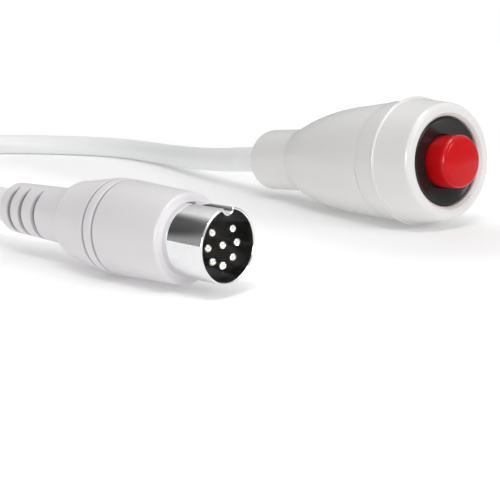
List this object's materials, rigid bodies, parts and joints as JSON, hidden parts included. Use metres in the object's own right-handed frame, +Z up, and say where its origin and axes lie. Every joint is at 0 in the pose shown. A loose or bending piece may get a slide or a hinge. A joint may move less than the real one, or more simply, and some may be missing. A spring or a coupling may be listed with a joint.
{
  "type": "nurse call button",
  "caption": "Hand-held patient call button with a red push button in a round white handset, on a long cord with a round multi-pin plug.",
  "frame": {"origin": "on the surface that the handset lies on, below the middle of the handset's length and width", "axes": "+X along the handset towards the red button, +Z up, +Y to the handset's left; the handset's front is tilted up by about 5 degrees"},
  "size_m": [0.242, 0.1748, 0.0296],
  "materials": {
    "white_shell": "satin gloss",
    "grey_rubber": "matte",
    "black_bezel": "gloss",
    "plated_steel": "nickel plated",
    "red_button": "gloss",
    "ivory_plastic": "smooth",
    "spring_steel": "bright drawn",
    "contact_brass": "silvered",
    "brown_plastic": "matte",
    "red_lead": "satin",
    "white_lead": "satin",
    "dark_sleeve": "satin",
    "crimp_brass": "plain",
    "pale_rubber": "matte",
    "cord_jacket": "satin",
    "strap_fabric": "napped",
    "plug_moulding": "satin",
    "plug_chrome": "bright plated",
    "insert_black": "smooth",
    "pin_plating": "bright silvered"
  },
  "bodies": {
    "handset": {"front_collar": "white_shell", "body_shell": "white_shell", "collar_seal": "grey_rubber", "bezel_barrel": "black_bezel", "bezel_gasket": "grey_rubber", "lock_washer": "plated_steel", "hex_nut": "plated_steel", "return_spring": "spring_steel", "terminal_base": "brown_plastic", "solder_terminals": "contact_brass", "lead_red": "red_lead", "lead_white": "white_lead", "shrink_sleeves": "dark_sleeve", "cord_ferrule": "crimp_brass", "cord_grommet": "pale_rubber", "cord_inner_end": "cord_jacket", "cord_lead": "cord_jacket", "cord_coil": "cord_jacket", "coil_ties": "strap_fabric", "cord_run": "cord_jacket", "plug_grip": "plug_moulding", "plug_shell": "plug_chrome", "plug_insert": "insert_black", "plug_pins": "pin_plating", "plug_crimp_cage": "plated_steel", "plug_inner_sleeve": "ivory_plastic", "plug_leads": "red_lead", "plug_cord_end": "cord_jacket"},
    "button": {"button_cap": "red_button", "plunger_stem": "ivory_plastic", "stem_clip": "plated_steel", "contact_bridge": "contact_brass"}
  },
  "joints": [
    {"name": "button_press", "type": "slide", "parent": "handset", "child": "button", "axis": [-0.996, 0, -0.0898], "range_m": [0, 0.0025], "stiffness_N_per_m": 1000, "springref_m": -0.0015, "deforming": ["return_spring"]}
  ]
}
